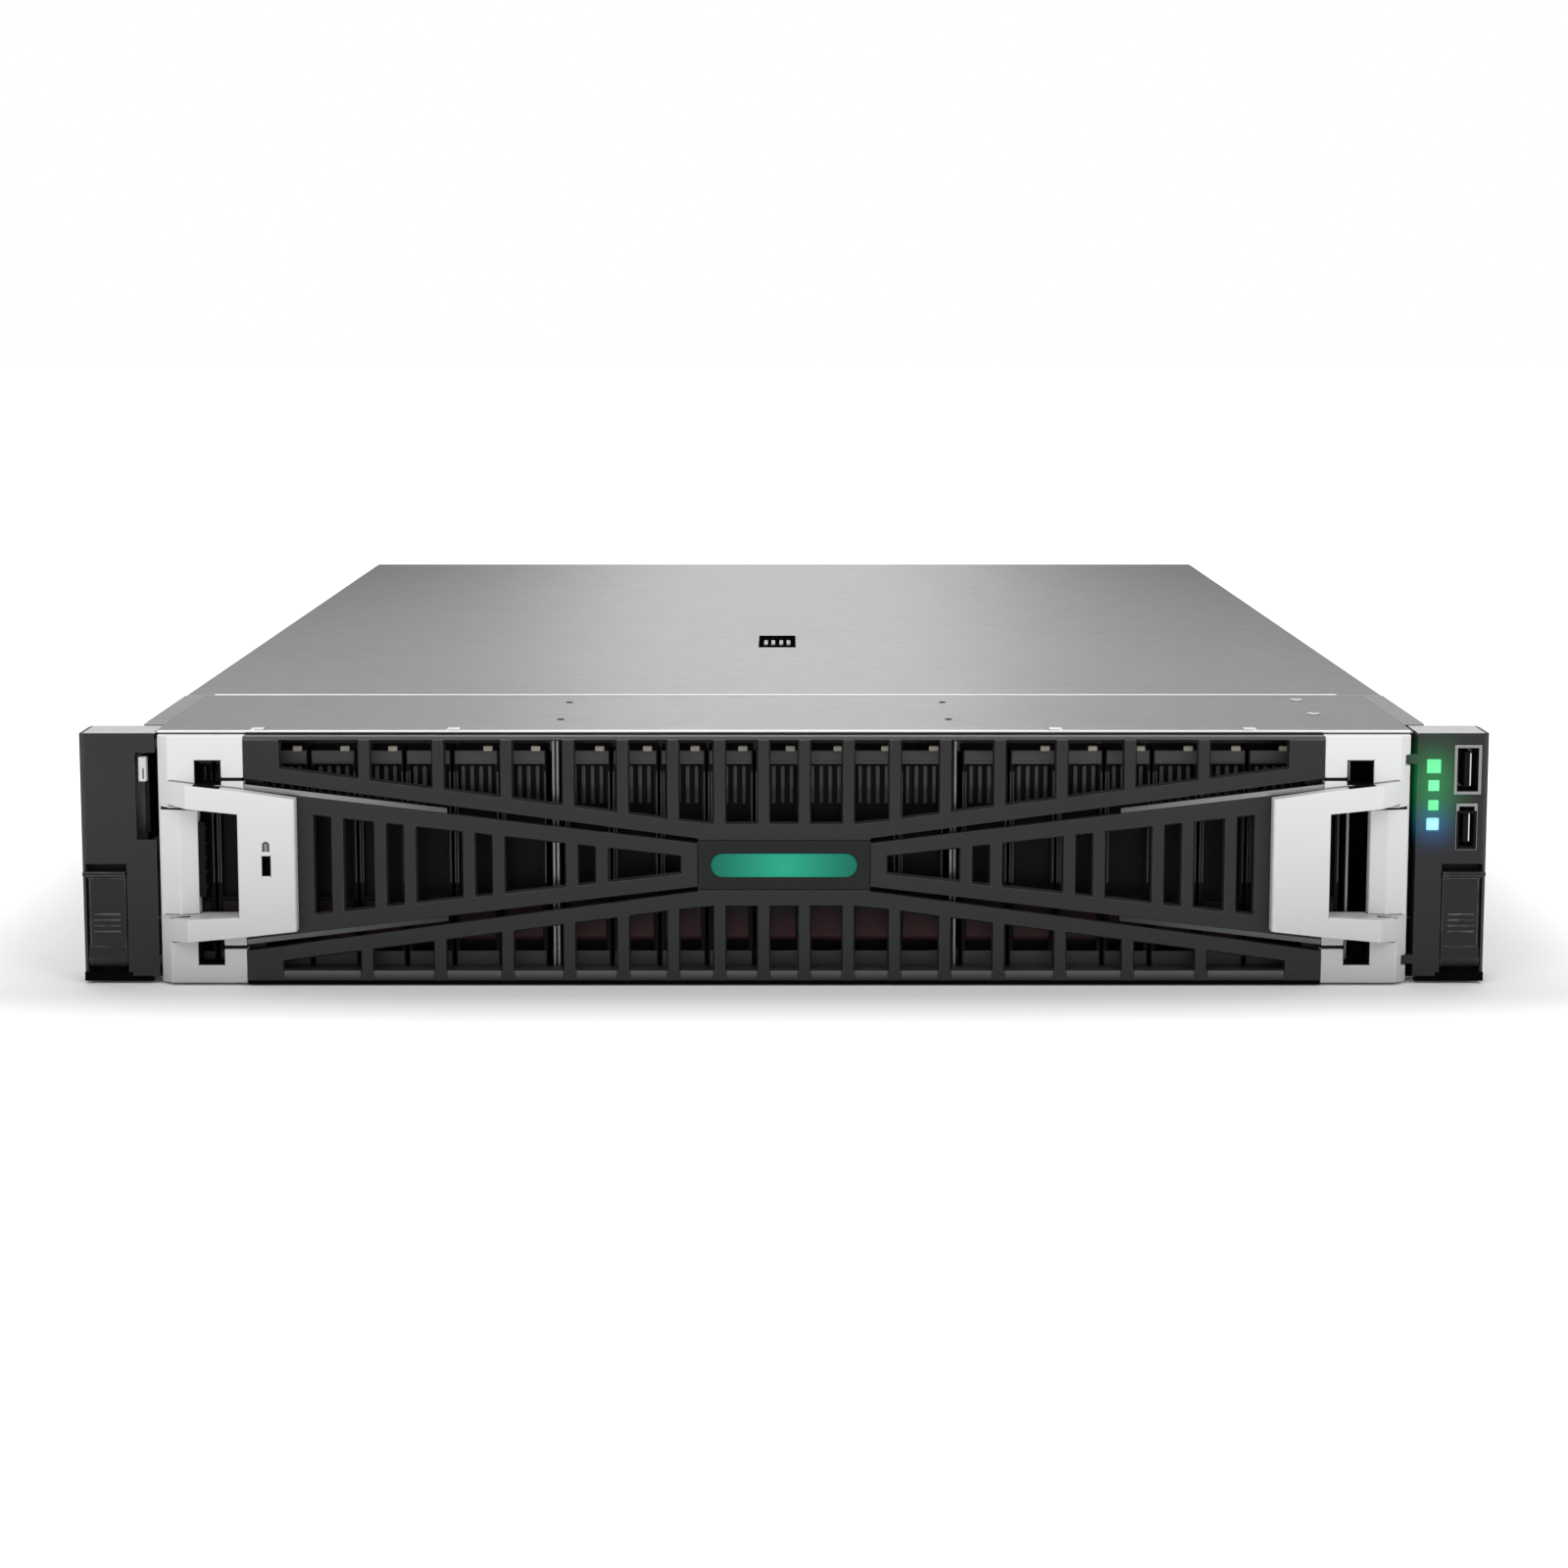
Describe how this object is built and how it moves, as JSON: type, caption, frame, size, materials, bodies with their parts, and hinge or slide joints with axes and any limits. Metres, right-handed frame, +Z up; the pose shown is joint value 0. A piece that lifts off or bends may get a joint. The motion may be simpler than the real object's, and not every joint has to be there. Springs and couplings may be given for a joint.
{
  "type": "rack server",
  "caption": "Two-unit rack server with a swinging lockable front bezel, rack ears with quick-release levers, upright drives, a lift-off hood and pull-out power supplies.",
  "frame": {"origin": "middle of the chassis underside's outline, at floor level", "axes": "+Z up, +X to the right as seen from the front, the front faces -Y"},
  "size_m": [0.4826, 0.755, 0.0877],
  "materials": {
    "bezel_plastic": "satin, finely grained",
    "cap_plastic": "satin silver-white paint",
    "trim": "satin",
    "badge": "glossy",
    "lens": "lit",
    "ear_plastic": "satin",
    "bracket_steel": "zinc plated",
    "pin_steel": "polished",
    "tab_card": "matt",
    "button_black": "satin",
    "button_blue": "lit",
    "light_green": "lit",
    "socket_metal": "nickel plated",
    "circuit_board": "solder mask",
    "cage_steel": "zinc plated",
    "drive_body": "dark satin",
    "button_plum": "satin",
    "chassis_steel": "zinc plated",
    "cover_steel": "zinc plated",
    "latch_black": "satin",
    "grip_grey": "satin",
    "fan_black": "satin",
    "connector": "matt",
    "heatsink": "bare",
    "supply_steel": "zinc plated",
    "supply_latch": "satin"
  },
  "bodies": {
    "chassis": {"left_ear_cover": "ear_plastic", "right_ear_cover": "ear_plastic", "left_ear_bracket": "bracket_steel", "right_ear_bracket": "bracket_steel", "rack_lever_pins": "pin_steel", "info_tab_sleeve": "connector", "status_lights": "light_green", "usb_sockets": "socket_metal", "circuit_boards": "circuit_board", "drive_cages": "cage_steel", "drives": "drive_body", "drive_release_buttons": "button_plum", "chassis_tray": "chassis_steel", "rear_panel": "chassis_steel", "front_top_cover": "cover_steel", "rail_studs": "pin_steel", "fan_cage": "cage_steel", "fan_frames": "fan_black", "motherboard": "circuit_board", "board_sockets": "connector", "heatsinks": "heatsink", "memory_modules": "circuit_board", "air_baffle": "connector", "riser_cages": "cage_steel", "slot_covers": "cage_steel", "network_card": "socket_metal", "rear_ports": "socket_metal", "supply_bay": "chassis_steel"},
    "bezel": {"bezel_grille": "bezel_plastic", "bezel_left_cap": "cap_plastic", "bezel_right_cap": "cap_plastic", "bezel_trim_strips": "trim", "bezel_badge": "badge", "bezel_badge_lens": "lens", "bezel_hinge_pins": "pin_steel"},
    "bezel_latch": {"bezel_latch": "latch_black"},
    "left_rack_lever": {"left_rack_lever": "ear_plastic"},
    "right_rack_lever": {"right_rack_lever": "ear_plastic"},
    "info_tab": {"info_tab": "tab_card"},
    "power_button": {"power_button": "light_green"},
    "identify_button": {"identify_button": "button_blue"},
    "hood": {"hood": "cover_steel", "hood_latch_housing": "latch_black", "hood_lever_pin": "pin_steel"},
    "hood_lever": {"hood_lever": "latch_black", "hood_lever_grips": "grip_grey"},
    "supply_1": {"supply_1_case": "supply_steel", "supply_1_handle": "latch_black", "supply_1_inlet": "connector"},
    "supply_2": {"supply_2_case": "supply_steel", "supply_2_handle": "latch_black", "supply_2_inlet": "connector"},
    "supply_1_latch": {"supply_1_latch": "supply_latch"},
    "supply_2_latch": {"supply_2_latch": "supply_latch"},
    "fan_rotor_1": {"fan_rotor_1": "fan_black"},
    "fan_rotor_2": {"fan_rotor_2": "fan_black"},
    "fan_rotor_3": {"fan_rotor_3": "fan_black"},
    "fan_rotor_4": {"fan_rotor_4": "fan_black"}
  },
  "joints": [
    {"name": "bezel_swing", "type": "hinge", "parent": "chassis", "child": "bezel", "pos_m": [0.213, -0.3655, 0.0417], "axis": [0, 0, 1], "range_deg": [0, 40]},
    {"name": "bezel_latch_slide", "type": "slide", "parent": "bezel", "child": "bezel_latch", "axis": [1, 0, 0], "range_m": [0, 0.0035], "stiffness_N_per_m": 200},
    {"name": "left_lever_swing", "type": "hinge", "parent": "chassis", "child": "left_rack_lever", "pos_m": [-0.233, -0.3643, 0.0074], "axis": [1, 0, 0], "range_deg": [0, 75]},
    {"name": "right_lever_swing", "type": "hinge", "parent": "chassis", "child": "right_rack_lever", "pos_m": [0.233, -0.3643, 0.0074], "axis": [1, 0, 0], "range_deg": [0, 75]},
    {"name": "info_tab_slide", "type": "slide", "parent": "chassis", "child": "info_tab", "axis": [0, -1, 0], "range_m": [0, 0.05]},
    {"name": "power_button_press", "type": "slide", "parent": "chassis", "child": "power_button", "axis": [0, 1, 0], "range_m": [0, 0.0012], "stiffness_N_per_m": 400},
    {"name": "identify_button_press", "type": "slide", "parent": "chassis", "child": "identify_button", "axis": [0, 1, 0], "range_m": [0, 0.0012], "stiffness_N_per_m": 400},
    {"name": "hood_lift", "type": "slide", "parent": "chassis", "child": "hood", "axis": [0, 0, 1], "range_m": [0, 0.12]},
    {"name": "hood_lever_swing", "type": "hinge", "parent": "hood", "child": "hood_lever", "pos_m": [-0.0029, -0.082, 0.083], "axis": [1, 0, 0], "range_deg": [0, 80]},
    {"name": "supply_1_slide", "type": "slide", "parent": "chassis", "child": "supply_1", "axis": [0, 1, 0], "range_m": [0, 0.19]},
    {"name": "supply_2_slide", "type": "slide", "parent": "chassis", "child": "supply_2", "axis": [0, 1, 0], "range_m": [0, 0.19]},
    {"name": "supply_1_latch_press", "type": "slide", "parent": "supply_1", "child": "supply_1_latch", "axis": [-1, 0, 0], "range_m": [0, 0.002], "stiffness_N_per_m": 500},
    {"name": "supply_2_latch_press", "type": "slide", "parent": "supply_2", "child": "supply_2_latch", "axis": [-1, 0, 0], "range_m": [0, 0.002], "stiffness_N_per_m": 500},
    {"name": "fan_1_spin", "type": "hinge", "parent": "chassis", "child": "fan_rotor_1", "pos_m": [-0.162, -0.1255, 0.041], "axis": [0, 1, 0], "continuous": true},
    {"name": "fan_2_spin", "type": "hinge", "parent": "chassis", "child": "fan_rotor_2", "pos_m": [-0.054, -0.1255, 0.041], "axis": [0, 1, 0], "continuous": true},
    {"name": "fan_3_spin", "type": "hinge", "parent": "chassis", "child": "fan_rotor_3", "pos_m": [0.054, -0.1255, 0.041], "axis": [0, 1, 0], "continuous": true},
    {"name": "fan_4_spin", "type": "hinge", "parent": "chassis", "child": "fan_rotor_4", "pos_m": [0.162, -0.1255, 0.041], "axis": [0, 1, 0], "continuous": true}
  ]
}
